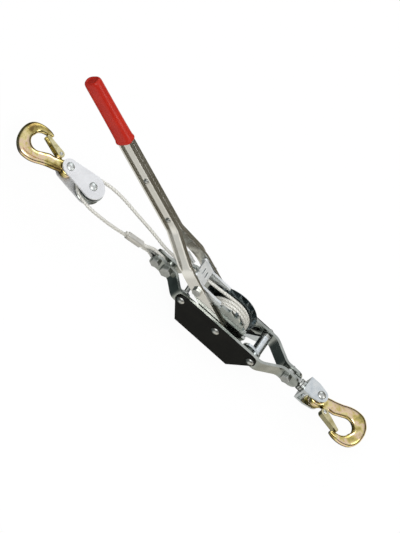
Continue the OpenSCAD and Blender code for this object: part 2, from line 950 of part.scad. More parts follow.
module drive_pawl() {
    tail = [drive_u + tail_l, web_h - 1];
    color("lightsteelblue")
        lever_frame() {
            for (s = [0, 1])
                mirror([0, s, 0])
                    difference() {
                        stand(cheek_y, cheek_y + cheek_t) {
                            pawl_cheek(drive_u);
                            egg_to(pivot_r, 4, [drive_u, 0], tail);
                        }
                        translate([drive_u, 0, 0])
                            rod_y(pivot_d / 2 + run_fit, 0, 40);
                    }
            difference() {
                translate([drive_u + 3, -cheek_y - 0.5, web_h])
                    cube([tail_l, 2 * cheek_y + 1, web_t]);
                for (u = [drive_u + 9, drive_u + 16])
                    translate([u, -5, web_h - 1])
                        cube([1.6, 10, web_t + 2]);
            }
        }
}

module stop_pawl() {
    lobe = [cross_x - 11, -1];
    color("lightsteelblue")
        mirror([0, 0, 1]) {
            for (s = [0, 1])
                mirror([0, s, 0])
                    difference() {
                        union() {
                            stand(cheek_y, cheek_y + cheek_t) {
                                pawl_cheek(cross_x);
                                if (s == 1)
                                    egg_to(pivot_r + 0.5, 9.5, [cross_x, 0], lobe);
                            }
                            translate([cross_x, 0, 0])
                                rod_y(sleeve_d / 2 + 1.8, -0.5, cheek_y + 0.5);
                        }
                        translate([cross_x, 0, 0])
                            rod_y(sleeve_d / 2 + run_fit, -1, 40);
                    }
        }
}

module drive_pawl_spring() {
    // Extension spring from the lever's tab to the pawl's web.
    a = [drive_u + tail_l + 2, -cheek_y + 3, web_h + web_t + wire_d / 2 + 0.5];
    b = [tab_u - 1.4, -tab_y + 4, 2];
    v = unit(b - a);
    s = unit(cross(v, [0, 0, 1]));
    t = cross(v, s);
    len = norm(b - a);
    c0 = len * 0.32;
    c1 = len * 0.74;
    n = 8;
    coil = [for (k = [0:spring_turns * n]) let (g = 360 * k / n, q = k / (spring_turns * n))
        a + v * (c0 + (c1 - c0) * q) + (spring_r - wire_d / 2) * (cos(g) * s + sin(g) * t)];
    color("gainsboro")
        lever_frame()
            tube(concat([a, a + v * (c0 * 0.6)], coil, [b - v * (len - c1) * 0.6, b]),
                wire_d / 2, 6, [0.31, 0.2, 0.93]);
}

// Hook, pin at the origin, mouth towards -Y.
bowl_in = bowl_r - 0.4;
function bowl_pt(a) = bowl + bowl_in * [cos(a), sin(a)];
hook_in = [[6, -9], [16, -5], [23, -2.2], [30, -1.2], [37, 2.4],
    bowl_pt(124), bowl_pt(104), bowl_pt(84), bowl_pt(64), bowl_pt(44), bowl_pt(24), bowl_pt(4),
    bowl_pt(-16), bowl_pt(-34), [58.6, -14.6], [55, -18.5], [50.5, -21], [45, -22.2], [40.5, -23.4],
    [37.6, -25.4]];
hook_out = [[5, 9.5], [14, 13.2], [24, 16.4], [33, 20.2], [42, 24.8],
    [50, 27.6], [56.5, 28.4], [63, 28.2], [69, 26], [73.8, 21.6], [77.6, 15.6], [79.8, 8.2],
    [80.4, 0], [79.6, -8.4], [76.6, -17.4], [71, -24.6], [63, -28.8], [54, -30.6], [45, -30.2],
    [38.6, -28.6]];
hook_half = [1, 1, 1, 1, 1, 1, 1, 1, 1, 1, 1, 1, 1, 1, 0.97, 0.92, 0.86, 0.8, 0.7, 0.45];

function section(w, h, c) = [for (q = [0:3]) for (k = [0:2]) let (
    a = q * 90 + k * 45,
    sx = (q == 0 || q == 3) ? 1 : -1,
    sz = q < 2 ? 1 : -1)
    [sx * (w - c) + c * cos(a), sz * (h - c) + c * sin(a)]];

module hook() {
    n = len(hook_in) - 1;
    rings = [for (i = [0:n]) let (
        a = hook_in[i],
        b = hook_out[i],
        e = unit(b - a),
        w = norm(b - a) / 2,
        h = hook_h * hook_half[i],
        m = (a + b) / 2)
        [for (q = section(w, h, min(3, h - 0.6, w - 0.3)))
            [m[0] + e[0] * q[0], m[1] + e[1] * q[0], q[1]]]];
    difference() {
        union() {
            skin(rings, 12);
            cylinder(r = eye_r, h = 2 * hook_h - 3, center = true);
            for (s = [0, 1])
                mirror([0, 0, s])
                    translate([0, 0, hook_h - 1.5])
                        cylinder(r1 = eye_r, r2 = eye_r - 1.5, h = 1.5);
            linear_extrude(2 * (latch_h - latch_t - slide_gap), center = true) {
                translate(latch_at)
                    circle(r = 3.4);
                translate([latch_at[0] - 3.4, latch_at[1]])
                    square([6.8, 7.5]);
            }
        }
        cylinder(d = pin_d + 2 * run_fit, h = 40, center = true);
        translate([bowl[0], bowl[1], 0])
            cylinder(r = bowl_r, h = 40, center = true, $fn = 96);
        translate([latch_at[0], latch_at[1], 0])
            cylinder(d = latch_pin_d + 2 * fit, h = 40, center = true);
    }
}

module latch() {
    v = latch_to - latch_at;
    l = norm(v);
    translate([latch_at[0], latch_at[1], 0])
        rotate([0, 0, atan2(v[1], v[0])])
            difference() {
                linear_extrude(2 * latch_h, center = true)
                    egg(5, 2.3, l);
                linear_extrude(2 * (latch_h - latch_t), center = true) {
                    egg(5 - latch_t, 2.3 - latch_t, l);
                    translate([-6, 0])
                        square([l + 12, 8]);
                }
                cylinder(d = latch_pin_d + 2 * run_fit, h = 20, center = true);
            }
}

module latch_pin() {
    translate([latch_at[0], latch_at[1], 0]) {
        cylinder(d = latch_pin_d, h = 2 * latch_h + 0.6, center = true);
        for (s = [0, 1])
            mirror([0, 0, s])
                translate([0, 0, latch_h + 0.15])
                    dome(latch_pin_d + 1.8, 1);
    }
}

module anchor_place() {
    translate([hook_x, 0, 0])
        children();
}

module load_place() {
    translate([load_x, 0, block_z])
        rotate([0, 0, 180 + load_turn])
            children();
}

module anchor_hook() {
    color([0.85, 0.68, 0.35])
        anchor_place()
            hook();
}

module anchor_latch() {
    color([0.85, 0.68, 0.35])
        anchor_place()
            latch();
}

module anchor_latch_pin() {
    color("silver")
        anchor_place()
            latch_pin();
}

module load_hook() {
    color([0.85, 0.68, 0.35])
        load_place()
            hook();
}

module load_latch() {
    color([0.85, 0.68, 0.35])
        load_place()
            latch();
}

module load_latch_pin() {
    color("silver")
        load_place()
            latch_pin();
}

// Anchor end.
collar_x = tail_x + tail_over + 0.8;
collar_end = clevis_x - washer_t - 2 * slide_gap;

module swivel_eye_bolt() {
    h = end_y - slide_gap;
    color("silver")
        difference() {
            union() {
                translate([tail_x, 0, 0])
                    rod_y(swivel_r, -h, h);
                translate([tail_x, -h, -6.5])
                    cube([collar_x - tail_x + 0.5, 2 * h, 13]);
                rod_x(collar_d / 2, collar_x, collar_end);
                rod_x(neck_d / 2, collar_end - 1, clevis_x + clevis_t + 2);
                rod_x(neck_d / 2 + 2.5, clevis_x + clevis_t + slide_gap, clevis_x + clevis_t + 5.5);
            }
            translate([tail_x, 0, 0])
                rod_y(end_d / 2 + run_fit, -20, 20);
        }
}

module swivel_washer() {
    color("silver")
        difference() {
            rod_x(collar_d / 2, collar_end + slide_gap, clevis_x - slide_gap);
            rod_x(neck_d / 2 + run_fit, 0, clevis_x + 1);
        }
}

module anchor_clevis() {
    w = clevis_w / 2;
    body = 14;
    h = ear_gap / 2 + clevis_t;
    color("silver")
        difference() {
            union() {
                translate([clevis_x, -w, -h])
                    cube([clevis_t, clevis_w, 2 * h]);
                for (s = [0, 1])
                    mirror([0, 0, s])
                        translate([0, 0, ear_gap / 2])
                            linear_extrude(clevis_t) {
                                polygon([[clevis_x, -w], [clevis_x + body, -w],
                                    [hook_x + 2, -ear_r * 0.979], [hook_x + 2, ear_r * 0.979],
                                    [clevis_x + body, w], [clevis_x, w]]);
                                translate([hook_x, 0])
                                    circle(r = ear_r);
                            }
            }
            rod_x(neck_d / 2 + run_fit, clevis_x - 5, clevis_x + clevis_t + 5);
            translate([hook_x, 0, 0])
                cylinder(d = pin_d + 2 * fit, h = 60, center = true);
        }
}

// Rivet along Z through plates that end at h.
module rivet_z(h) {
    cylinder(d = pin_d, h = 2 * h, center = true);
    for (s = [0, 1])
        mirror([0, 0, s])
            translate([0, 0, h])
                dome(pin_head_d, pin_head_h);
}

module clevis_pin() {
    color("silver")
        anchor_place()
            rivet_z(ear_gap / 2 + clevis_t);
}

// Load block.
module block_plate() {
    difference() {
        translate([-sheave_x, 0, block_gap / 2])
            linear_extrude(cheek_plate_t)
                mirror([1, 0])
                    egg(plate_r1, plate_r2, block_l);
        for (x = [-sheave_x, load_x])
            translate([x, 0, 0])
                cylinder(d = pin_d + 2 * fit, h = 60, center = true);
    }
}

module upper_block_plate() {
    color("lavender")
        translate([0, 0, block_z])
            block_plate();
}

module lower_block_plate() {
    color("lavender")
        translate([0, 0, block_z])
            mirror([0, 0, 1])
                block_plate();
}

module sheave_rivet() {
    color("lightsteelblue")
        translate([-sheave_x, 0, block_z])
            rivet_z(block_gap / 2 + cheek_plate_t);
}

module hook_rivet() {
    color("lightsteelblue")
        translate([load_x, 0, block_z])
            rivet_z(block_gap / 2 + cheek_plate_t);
}

module ring_z(r, ri, h) {
    difference() {
        cylinder(r = r, h = h, center = true);
        cylinder(r = ri, h = h + 2, center = true);
    }
}

module sheave_bush() {
    color("darkgoldenrod")
        translate([-sheave_x, 0, block_z])
            ring_z(bush_r, pin_d / 2 + fit, block_gap);
}

module sheave() {
    g = sheave_rope_r - rope_d / 2 - rope_gap;
    w = sheave_w / 2;
    n = 8;
    gr = rope_d / 2 + rope_gap;
    b = bush_r + run_fit;
    hub = block_gap / 2 - slide_gap;
    groove = [for (k = [0:n]) let (a = -60 + 120 * k / n)
        [sheave_rope_r - gr * cos(a), gr * sin(a)]];
    color("silver")
        translate([-sheave_x, 0, block_z])
            rotate_extrude($fn = 96)
                polygon(concat([[b, -hub], [b + 3, -hub], [b + 3, -w], [sheave_r, -w]],
                    [[sheave_r, -w + 0.8]], groove, [[sheave_r, w - 0.8]],
                    [[sheave_r, w], [b + 3, w], [b + 3, hub], [b, hub]]));
}

module hook_spacers() {
    t = block_gap / 2 - hook_h - 2 * slide_gap;
    color("silver")
        translate([load_x, 0, block_z])
            for (s = [0, 1])
                mirror([0, 0, s])
                    translate([0, 0, hook_h + slide_gap + t / 2])
                        ring_z(eye_r * 0.75, pin_d / 2 + fit, t);
}

place() near_frame_strap();
place() far_frame_strap();
place() near_side_plate();
place() far_side_plate();
place() drum_axle();
place() cross_bolts();
place() frame_nuts();
place() front_lock_nuts();
place() rear_sleeve();
place() nose_clamp_bolt();
place() nose_spacer();
place() rope_bolt();
place() tail_bolt();
place() end_nuts();
place() rope_thimble();
place() rope_ferrule();
place() wire_rope_eye();
place() wire_rope_run();
place() stop_pawl_spring();
place() drum_core();
place() near_flange();
place() far_flange();
place() far_guard_disc();
place() near_ratchet_gear();
place() far_ratchet_gear();
place() wound_rope();
place() near_lever_half();
place() far_lever_half();
place() lever_rivets();
place() lever_grip();
place() pawl_pivot_bolts();
place() pawl_bushes();
place() drive_pawl_spring();
place() drive_pawl();
place() stop_pawl();
place() swivel_eye_bolt();
place() anchor_clevis();
place() swivel_washer();
place() clevis_pin();
place() anchor_hook();
place() anchor_latch_pin();
place() anchor_latch();
place() upper_block_plate();
place() lower_block_plate();
place() sheave_rivet();
place() hook_rivet();
place() sheave_bush();
place() sheave();
place() hook_spacers();
place() load_hook();
place() load_latch_pin();
place() load_latch();
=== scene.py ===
"""Hand cable puller: strap frame, ratchet drum, forked lever, load block, two hooks."""
import json
import math

import bpy
from mathutils import Matrix, Vector


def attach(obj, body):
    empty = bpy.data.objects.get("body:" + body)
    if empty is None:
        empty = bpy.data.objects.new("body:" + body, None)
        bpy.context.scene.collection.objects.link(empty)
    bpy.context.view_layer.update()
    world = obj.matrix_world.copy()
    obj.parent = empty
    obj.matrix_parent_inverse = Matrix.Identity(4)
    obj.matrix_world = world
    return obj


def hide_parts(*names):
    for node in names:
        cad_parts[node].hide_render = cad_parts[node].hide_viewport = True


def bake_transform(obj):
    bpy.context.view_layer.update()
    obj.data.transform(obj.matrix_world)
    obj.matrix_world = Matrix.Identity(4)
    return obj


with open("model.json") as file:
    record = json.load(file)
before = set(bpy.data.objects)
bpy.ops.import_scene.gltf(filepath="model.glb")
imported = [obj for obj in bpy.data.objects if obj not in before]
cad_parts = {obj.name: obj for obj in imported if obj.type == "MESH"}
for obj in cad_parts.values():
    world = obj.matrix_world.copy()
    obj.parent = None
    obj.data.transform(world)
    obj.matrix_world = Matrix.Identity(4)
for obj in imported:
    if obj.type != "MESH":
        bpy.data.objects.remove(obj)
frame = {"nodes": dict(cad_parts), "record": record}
NODES = frame["nodes"]
BODY_OF = {n: b for b, ns in frame["record"]["behaviour"]["bodies"].items() for n in ns}
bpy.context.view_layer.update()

MM = 0.001
BOWL = (214.0, -3.0)  # the anchor bowl's centre, measured from the drum axle
TILT = math.radians(27.5)  # lever above the line to the load


def at(x, y, z):
    """A point measured from the drum axle in millimetres."""
    return Vector(((x - BOWL[0]) * MM, (y - BOWL[1]) * MM, z * MM))


def on_lever(u, y, h):
    """A point on the lever: u along it, h towards its upper edge."""
    return at(-u * math.cos(TILT) + h * math.sin(TILT), y,
              u * math.sin(TILT) + h * math.cos(TILT))


# ---------------------------------------------------------------- nodes

def node_of(nt, kind, **inputs):
    """A new shader node with its inputs set."""
    node = nt.nodes.new("ShaderNode" + kind)
    for key, value in inputs.items():
        node.inputs[key.replace("_", " ")].default_value = value
    return node


def maths(nt, operation, source, value):
    """The source put through one sum, with value as the second number."""
    node = nt.nodes.new("ShaderNodeMath")
    node.operation = operation
    node.inputs[1].default_value = value
    nt.links.new(source, node.inputs[0])
    return node.outputs[0]


def ramp_of(nt, source, stops):
    """The source turned into colour through stops of (place, colour)."""
    ramp = nt.nodes.new("ShaderNodeValToRGB")
    first, last = ramp.color_ramp.elements
    for end, (where, colour) in ((first, stops[0]), (last, stops[-1])):
        end.position = where
        end.color = (*colour, 1)
    for where, colour in stops[1:-1]:
        ramp.color_ramp.elements.new(where).color = (*colour, 1)
    nt.links.new(source, ramp.inputs[0])
    return ramp.outputs[0]


def mixed(nt, share, first, second, out):
    """Two shaders mixed by share and joined to the output."""
    mix = nt.nodes.new("ShaderNodeMixShader")
    nt.links.new(share, mix.inputs[0])
    nt.links.new(first.outputs[0], mix.inputs[1])
    nt.links.new(second.outputs[0], mix.inputs[2])
    nt.links.new(mix.outputs[0], out.inputs["Surface"])


# ---------------------------------------------------------------- studio

VIEW_HIGH = 533  # the view's height in pixels
PIXELS_A_METRE = 770
AXLE_RIGHT, AXLE_DOWN = 24.5, 50.3  # pixels from the middle of the view to the drum axle
CAMERA_OFF = 3
STUDIO_MIDDLE = Vector((-0.2, 0, 0))
FLOOR_Z = -0.0388  # 0.2 mm over the lowest point of the part

# The view's own axes: to the right, up, and from the object back to the camera.
RIGHT = Vector((0.7348, 0.4469, 0.5102)).normalized()
LEANING_UP = Vector((-0.6530, 0.6695, 0.3540)).normalized()
BACK = RIGHT.cross(LEANING_UP).normalized()
UP = BACK.cross(RIGHT).normalized()


def add_camera():
    """A camera with no perspective, square to the view's axes."""
    cam = bpy.data.cameras.new("studio_camera")
    cam.type = "ORTHO"
    cam.ortho_scale = VIEW_HIGH / PIXELS_A_METRE
    cam.clip_end = 20
    obj = bpy.data.objects.new("studio_camera", cam)
    bpy.context.scene.collection.objects.link(obj)
    aim = at(0, 0, 0) + (UP * AXLE_DOWN - RIGHT * AXLE_RIGHT) / PIXELS_A_METRE
    turn = Matrix((RIGHT, UP, BACK)).transposed().to_4x4()
    obj.matrix_world = Matrix.Translation(aim + BACK * CAMERA_OFF) @ turn
    bpy.context.scene.camera = obj


def add_panel(name, where, size, power, colour=(1, 1, 1)):
    """A round soft lamp that looks at the middle of the studio."""
    lamp = bpy.data.lights.new(name, "AREA")
    lamp.shape = "DISK"
    lamp.size = size
    lamp.energy = power
    lamp.color = colour
    obj = bpy.data.objects.new(name, lamp)
    bpy.context.scene.collection.objects.link(obj)
    obj.location = where
    obj.rotation_euler = (STUDIO_MIDDLE - Vector(where)).to_track_quat("-Z", "Y").to_euler()


def add_world():
    """A pale room overhead and, below the level, the darker bench that polished metal shows."""
    world = bpy.data.worlds.new("studio_room")
    bpy.context.scene.world = world
    world.use_nodes = True
    nt = world.node_tree
    over = nt.nodes["Background"]
    over.inputs["Strength"].default_value = 0.80
    under = nt.nodes.new("ShaderNodeBackground")
    coord = nt.nodes.new("ShaderNodeTexCoord")
    way = nt.nodes.new("ShaderNodeSeparateXYZ")
    nt.links.new(coord.outputs["Generated"], way.inputs[0])
    room = ramp_of(nt, way.outputs["Z"], (
        (0.0, (0.62, 0.62, 0.60)), (0.03, (0.075, 0.066, 0.042)),
        (0.40, (0.095, 0.083, 0.054)), (0.56, (0.62, 0.63, 0.64)),
        (0.72, (0.95, 0.95, 0.97)), (1.0, (1.0, 1.0, 1.0))))
    nt.links.new(room, over.inputs["Color"])

    # z runs from -1 straight down to 0 at the level, so one is added for the ramp
    slant = maths(nt, "ADD", way.outputs["Z"], 1.0)
    bench = ramp_of(nt, slant, (
        (0.08, (0.030, 0.028, 0.020)), (0.145, (0.11, 0.105, 0.08)),
        (0.19, (0.50, 0.49, 0.46)), (0.26, (0.82, 0.81, 0.77)),
        (0.45, (0.92, 0.91, 0.88))))
    across = nt.nodes.new("ShaderNodeMapRange")
    across.inputs["From Min"].default_value = 0.7
    across.inputs["From Max"].default_value = -0.7
    nt.links.new(way.outputs["X"], across.inputs["Value"])
    sides = ramp_of(nt, across.outputs[0], (
        (0.08, (0.95, 0.91, 0.85)), (0.30, (1, 1, 1)), (0.54, (0.96, 0.96, 0.96)),
        (0.66, (0.36, 0.38, 0.38)), (0.82, (0.08, 0.10, 0.105))))
    both = nt.nodes.new("ShaderNodeVectorMath")
    both.operation = "MULTIPLY"
    nt.links.new(bench, both.inputs[0])
    nt.links.new(sides, both.inputs[1])
    nt.links.new(both.outputs[0], under.inputs["Color"])

    mixed(nt, maths(nt, "LESS_THAN", way.outputs["Z"], 0.0), over, under, nt.nodes["World Output"])


def add_floor():
    """White paper that keeps the shadow. Glossy rays pass it by and find the room's bench."""
    bpy.ops.mesh.primitive_plane_add(size=8, location=(*STUDIO_MIDDLE.xy, FLOOR_Z))
    floor = bpy.context.active_object
    floor.name = "studio_floor"
    bpy.ops.object.transform_apply(location=True)
    floor.visible_glossy = False
    mat = bpy.data.materials.new("floor_paper")
    mat.use_nodes = True
    nt = mat.node_tree
    nt.nodes.remove(nt.nodes["Principled BSDF"])
    paper = nt.nodes.new("ShaderNodeBsdfDiffuse")
    paper.inputs["Color"].default_value = (0.86, 0.86, 0.86, 1)
    glow = nt.nodes.new("ShaderNodeEmission")
    glow.inputs["Strength"].default_value = 1.02
    path = nt.nodes.new("ShaderNodeLightPath")
    share = maths(nt, "MULTIPLY", path.outputs["Is Camera Ray"], 0.92)
    mixed(nt, share, paper, glow, nt.nodes["Material Output"])
    floor.data.materials.append(mat)


bpy.context.scene.view_settings.view_transform = "Standard"
add_camera()
add_world()
add_floor()
add_panel("key_panel", (-0.5, -1.1, 1.6), 1.1, 13)
add_panel("side_panel", (1.3, 0.5, 1.1), 0.8, 5, (1.0, 0.98, 0.95))
add_panel("rear_panel", (-0.6, 1.5, 1.0), 0.9, 5, (0.95, 0.98, 1.0))


# ---------------------------------------------------------------- finishes

def finish(name, metallic, stops, patch, rough, grain, bump, coat=0.0, shine=0.5):
    """A finish: stops colour a cloudy pattern of that patch size, rough is (least, most)
    roughness, grain and bump the size and depth of the fine surface, all in millimetres."""
    mat = bpy.data.materials.new(name)
    mat.use_nodes = True
    nt = mat.node_tree
    skin = nt.nodes["Principled BSDF"]
    skin.inputs["Metallic"].default_value = metallic
    skin.inputs["Coat Weight"].default_value = coat
    skin.inputs["Specular IOR Level"].default_value = shine
    skin.inputs["Coat Roughness"].default_value = 0.12
    coord = nt.nodes.new("ShaderNodeTexCoord").outputs["Object"]
    cloud = node_of(nt, "TexNoise", Scale=1 / (patch * MM), Detail=4.0, Roughness=0.55)
    nt.links.new(coord, cloud.inputs["Vector"])
    nt.links.new(ramp_of(nt, cloud.outputs["Fac"], stops), skin.inputs["Base Color"])
    fine = node_of(nt, "TexNoise", Scale=1 / (grain * MM), Detail=3.0, Roughness=0.6)
    nt.links.new(coord, fine.inputs["Vector"])
    blot = node_of(nt, "TexNoise", Scale=1 / (patch * 0.6 * MM), Detail=3.0)
    nt.links.new(coord, blot.inputs["Vector"])
    both = node_of(nt, "Math")
    both.operation = "ADD"
    nt.links.new(fine.outputs["Fac"], both.inputs[0])
    nt.links.new(blot.outputs["Fac"], both.inputs[1])
    spread = node_of(nt, "MapRange", From_Min=0.7, From_Max=1.3, To_Min=rough[0], To_Max=rough[1])
    nt.links.new(both.outputs[0], spread.inputs["Value"])
    nt.links.new(spread.outputs[0], skin.inputs["Roughness"])
    dent = node_of(nt, "Bump", Strength=0.35, Distance=bump * MM)
    nt.links.new(fine.outputs["Fac"], dent.inputs["Height"])
    nt.links.new(dent.outputs[0], skin.inputs["Normal"])
    return mat


FINISH = {
    "zinc": finish("strap_zinc", 1.0, [(0.25, (0.31, 0.33, 0.31)), (0.5, (0.46, 0.49, 0.46)),
                                       (0.75, (0.60, 0.62, 0.59))], 18, (0.14, 0.24), 0.8, 0.006),
    "bolts": finish("bolt_zinc", 1.0, [(0.3, (0.42, 0.44, 0.42)), (0.7, (0.62, 0.63, 0.61))],
                    5, (0.28, 0.38), 0.6, 0.004),
    "black_paint": finish("plate_black", 0.0, [(0.3, (0.0035, 0.0035, 0.003)),
                                               (0.7, (0.008, 0.008, 0.006))],
                          30, (0.30, 0.40), 0.9, 0.012, shine=0.12),
    "blue_zinc": finish("pawl_zinc", 1.0, [(0.25, (0.62, 0.68, 0.72)), (0.5, (0.76, 0.81, 0.83)),
                                           (0.75, (0.85, 0.88, 0.88))], 7, (0.14, 0.26), 0.6, 0.005),
    "dark_steel": finish("gear_dark", 1.0, [(0.3, (0.09, 0.11, 0.11)), (0.7, (0.18, 0.21, 0.22))],
                         12, (0.20, 0.34), 0.6, 0.008),
    "gold_zinc": finish("hook_gold", 1.0, [(0.33, (0.22, 0.15, 0.05)), (0.41, (0.52, 0.42, 0.14)),
                                           (0.48, (0.86, 0.74, 0.36)), (0.535, (0.90, 0.68, 0.50)),
                                           (0.60, (0.68, 0.56, 0.19)), (0.68, (0.34, 0.29, 0.10))],
                        24, (0.12, 0.22), 0.9, 0.008),
    "pale_zinc": finish("block_zinc", 0.5, [(0.3, (0.80, 0.81, 0.83)), (0.7, (0.88, 0.89, 0.91))],
                        16, (0.36, 0.48), 0.6, 0.004),
    "nickel": finish("lever_plate", 1.0, [(0.25, (0.86, 0.84, 0.78)), (0.5, (0.93, 0.92, 0.87)),
                                          (0.75, (0.96, 0.95, 0.91))], 40, (0.17, 0.22), 0.8, 0.001),
    "red_vinyl": finish("grip_vinyl", 0.0, [(0.3, (0.49, 0.017, 0.008)), (0.7, (0.57, 0.025, 0.010))],
                        25, (0.30, 0.42), 1.6, 0.02, coat=0.05, shine=0.25),
    "bronze": finish("bush_bronze", 1.0, [(0.3, (0.50, 0.34, 0.14)), (0.7, (0.68, 0.50, 0.24))],
                     6, (0.25, 0.4), 0.4, 0.02),
    "rope_wire": finish("rope_zinc", 0.7, [(0.3, (0.66, 0.65, 0.60)), (0.7, (0.80, 0.79, 0.75))],
                        5, (0.30, 0.48), 0.3, 0.02),
}
SLOT_OF = {s["node"]: s["material_slot"] for s in frame["record"]["subparts"]}


def dress(obj, slot):
    """Gives the piece its slot's finish."""
    obj.data.materials.clear()
    obj.data.materials.append(FINISH[slot])


# ---------------------------------------------------------------- shaping

SMOOTH_BELOW = math.radians(38)  # a sharper edge than this stays an edge


def pick(obj):
    """Selects this piece alone and makes it the active one."""
    bpy.ops.object.select_all(action="DESELECT")
    obj.select_set(True)
    bpy.context.view_layer.objects.active = obj


def take_copy(node, name):
    """A loose copy of a solid, with its triangles merged into whole faces."""
    obj = NODES[node].copy()
    obj.data = NODES[node].data.copy()
    obj.parent = None
    for key in list(obj.keys()):
        del obj[key]
    obj.name = obj.data.name = name
    bpy.context.scene.collection.objects.link(obj)
    pick(obj)
    bpy.ops.object.mode_set(mode="EDIT")
    bpy.ops.mesh.select_all(action="SELECT")
    bpy.ops.mesh.customdata_custom_splitnormals_clear()
    bpy.ops.mesh.remove_doubles(threshold=0.000002)
    bpy.ops.mesh.dissolve_limited(angle_limit=math.radians(0.6))
    bpy.ops.object.mode_set(mode="OBJECT")
    return obj


def run(obj, kind, **values):
    """Adds a modifier, sets it and applies it."""
    pick(obj)
    mod = obj.modifiers.new(kind.lower(), kind)
    for key, value in values.items():
        setattr(mod, key, value)
    bpy.ops.object.modifier_apply(modifier=mod.name)


def settle(obj, node):
    """The piece takes the node's body, place and finish, and the node is hidden."""
    dress(obj, SLOT_OF[node])
    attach(obj, BODY_OF[node])
    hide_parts(node)
    return obj


def eased(node, width):
    """The solid with its edges broken, as a press, a forge or a file leaves them."""
    obj = take_copy(node, node + "_eased")
    run(obj, "BEVEL", width=width * MM, segments=2, limit_method="ANGLE",
        angle_limit=math.radians(32), miter_outer="MITER_ARC", use_clamp_overlap=True)
    pick(obj)
    bpy.ops.object.shade_smooth_by_angle(angle=SMOOTH_BELOW)
    run(obj, "WEIGHTED_NORMAL", keep_sharp=True, weight=80)
    return settle(obj, node)


def forged(node, voxel, rounds):
    """The solid as a drop forging: every corner flows into the next."""
    obj = take_copy(node, node + "_forged")
    run(obj, "REMESH", mode="VOXEL", voxel_size=voxel * MM, adaptivity=0)
    run(obj, "SMOOTH", factor=0.5, iterations=rounds)
    pick(obj)
    bpy.ops.object.shade_smooth()
    return settle(obj, node)


# the solids whose edges are broken, with the width of the break in millimetres
for name, width in (("near_frame_strap", 0.7), ("far_frame_strap", 0.7),
                    ("near_side_plate", 0.35), ("far_side_plate", 0.35),
                    ("drum_axle", 0.4), ("cross_bolts", 0.4), ("frame_nuts", 0.4),
                    ("front_lock_nuts", 0.5), ("rear_sleeve", 0.3), ("nose_clamp_bolt", 0.5),
                    ("rope_bolt", 0.5), ("tail_bolt", 0.5), ("end_nuts", 0.4),
                    ("near_ratchet_gear", 0.3), ("far_ratchet_gear", 0.3),
                    ("near_flange", 0.2), ("far_flange", 0.2), ("far_guard_disc", 0.2),
                    ("near_lever_half", 0.8), ("far_lever_half", 0.8), ("lever_rivets", 0.3),
                    ("pawl_pivot_bolts", 0.5), ("stop_pawl", 0.6),
                    ("swivel_washer", 0.3), ("clevis_pin", 0.3),
                    ("upper_block_plate", 0.5), ("lower_block_plate", 0.5),
                    ("rope_thimble", 0.2), ("rope_ferrule", 0.9), ("anchor_clevis", 0.9),
                    ("sheave", 0.3)):
    eased(name, width)

# stamped sheet is plated paler and duller than the forged hooks, and headed rivets are satin
LATCH_GOLD = finish("latch_gold", 1.0, [(0.35, (0.50, 0.44, 0.22)), (0.5, (0.72, 0.66, 0.40)),
                                        (0.65, (0.60, 0.54, 0.30))], 14, (0.26, 0.36), 0.9, 0.006)
RIVET_SATIN = finish("rivet_satin", 1.0, [(0.3, (0.60, 0.64, 0.63)), (0.7, (0.74, 0.77, 0.76))],
                     5, (0.38, 0.46), 0.6, 0.003)
PAWL_SATIN = finish("pawl_satin", 1.0, [(0.3, (0.82, 0.86, 0.88)), (0.7, (0.93, 0.95, 0.95))],
                    7, (0.42, 0.52), 0.6, 0.005)
for name, width, own in (("anchor_latch", 0.4, LATCH_GOLD), ("load_latch", 0.4, LATCH_GOLD),
                         ("sheave_rivet", 0.3, RIVET_SATIN), ("hook_rivet", 0.3, RIVET_SATIN),
                         ("drive_pawl", 0.6, PAWL_SATIN)):
    eased(name, width).data.materials[0] = own
forged("swivel_eye_bolt", 0.5, 5)


# ---------------------------------------------------------------- hooks and grip

def curve(points, steps):
    """Points on a smooth curve through the given ones."""
    fine = []
    for i in range(len(points) - 1):
        a = points[max(i - 1, 0)]
        b, c = points[i], points[i + 1]
        d = points[min(i + 2, len(points) - 1)]
        for k in range(steps):
            t = k / steps
            fine.append(0.5 * (2 * b + (c - a) * t + (2 * a - 5 * b + 4 * c - d) * t * t
                               + (3 * b - a - 3 * c + d) * t ** 3))
    return fine + [points[-1]]


def lofted(name, rings):
    """A closed skin over rings that all have the same number of points."""
    n = len(rings[0])
    faces = [(i * n + k, i * n + (k + 1) % n, (i + 1) * n + (k + 1) % n, (i + 1) * n + k)
             for i in range(len(rings) - 1) for k in range(n)]
    last = (len(rings) - 1) * n
    faces += [tuple(range(n - 1, -1, -1)), tuple(last + k for k in range(n))]
    mesh = bpy.data.meshes.new(name)
    mesh.from_pydata([p for ring in rings for p in ring], [], faces)
    obj = bpy.data.objects.new(name, mesh)
    bpy.context.scene.collection.objects.link(obj)
    pick(obj)
    bpy.ops.object.mode_set(mode="EDIT")
    bpy.ops.mesh.select_all(action="SELECT")
    bpy.ops.mesh.normals_make_consistent(inside=False)
    bpy.ops.object.mode_set(mode="OBJECT")
    return obj


def oval(w, h, square, count=32):
    """Points round an oval; a higher square brings it nearer to a rectangle."""
    out = []
    for k in range(count):
        a = 2 * math.pi * k / count
        c, s = math.cos(a), math.sin(a)
        out.append((math.copysign(w * abs(c) ** (2 / square), c),
                    math.copysign(h * abs(s) ** (2 / square), s)))
    return out


def round_bar(x, y, radius, depth, place, vertices=64):
    """A cylinder square to the hook's middle plane."""
    bpy.ops.mesh.primitive_cylinder_add(vertices=vertices, radius=radius * MM, depth=depth * MM)
    bar = bpy.context.active_object
    for v in bar.data.vertices:
        v.co = place(x + v.co.x / MM, y + v.co.y / MM, v.co.z / MM)
    return bar


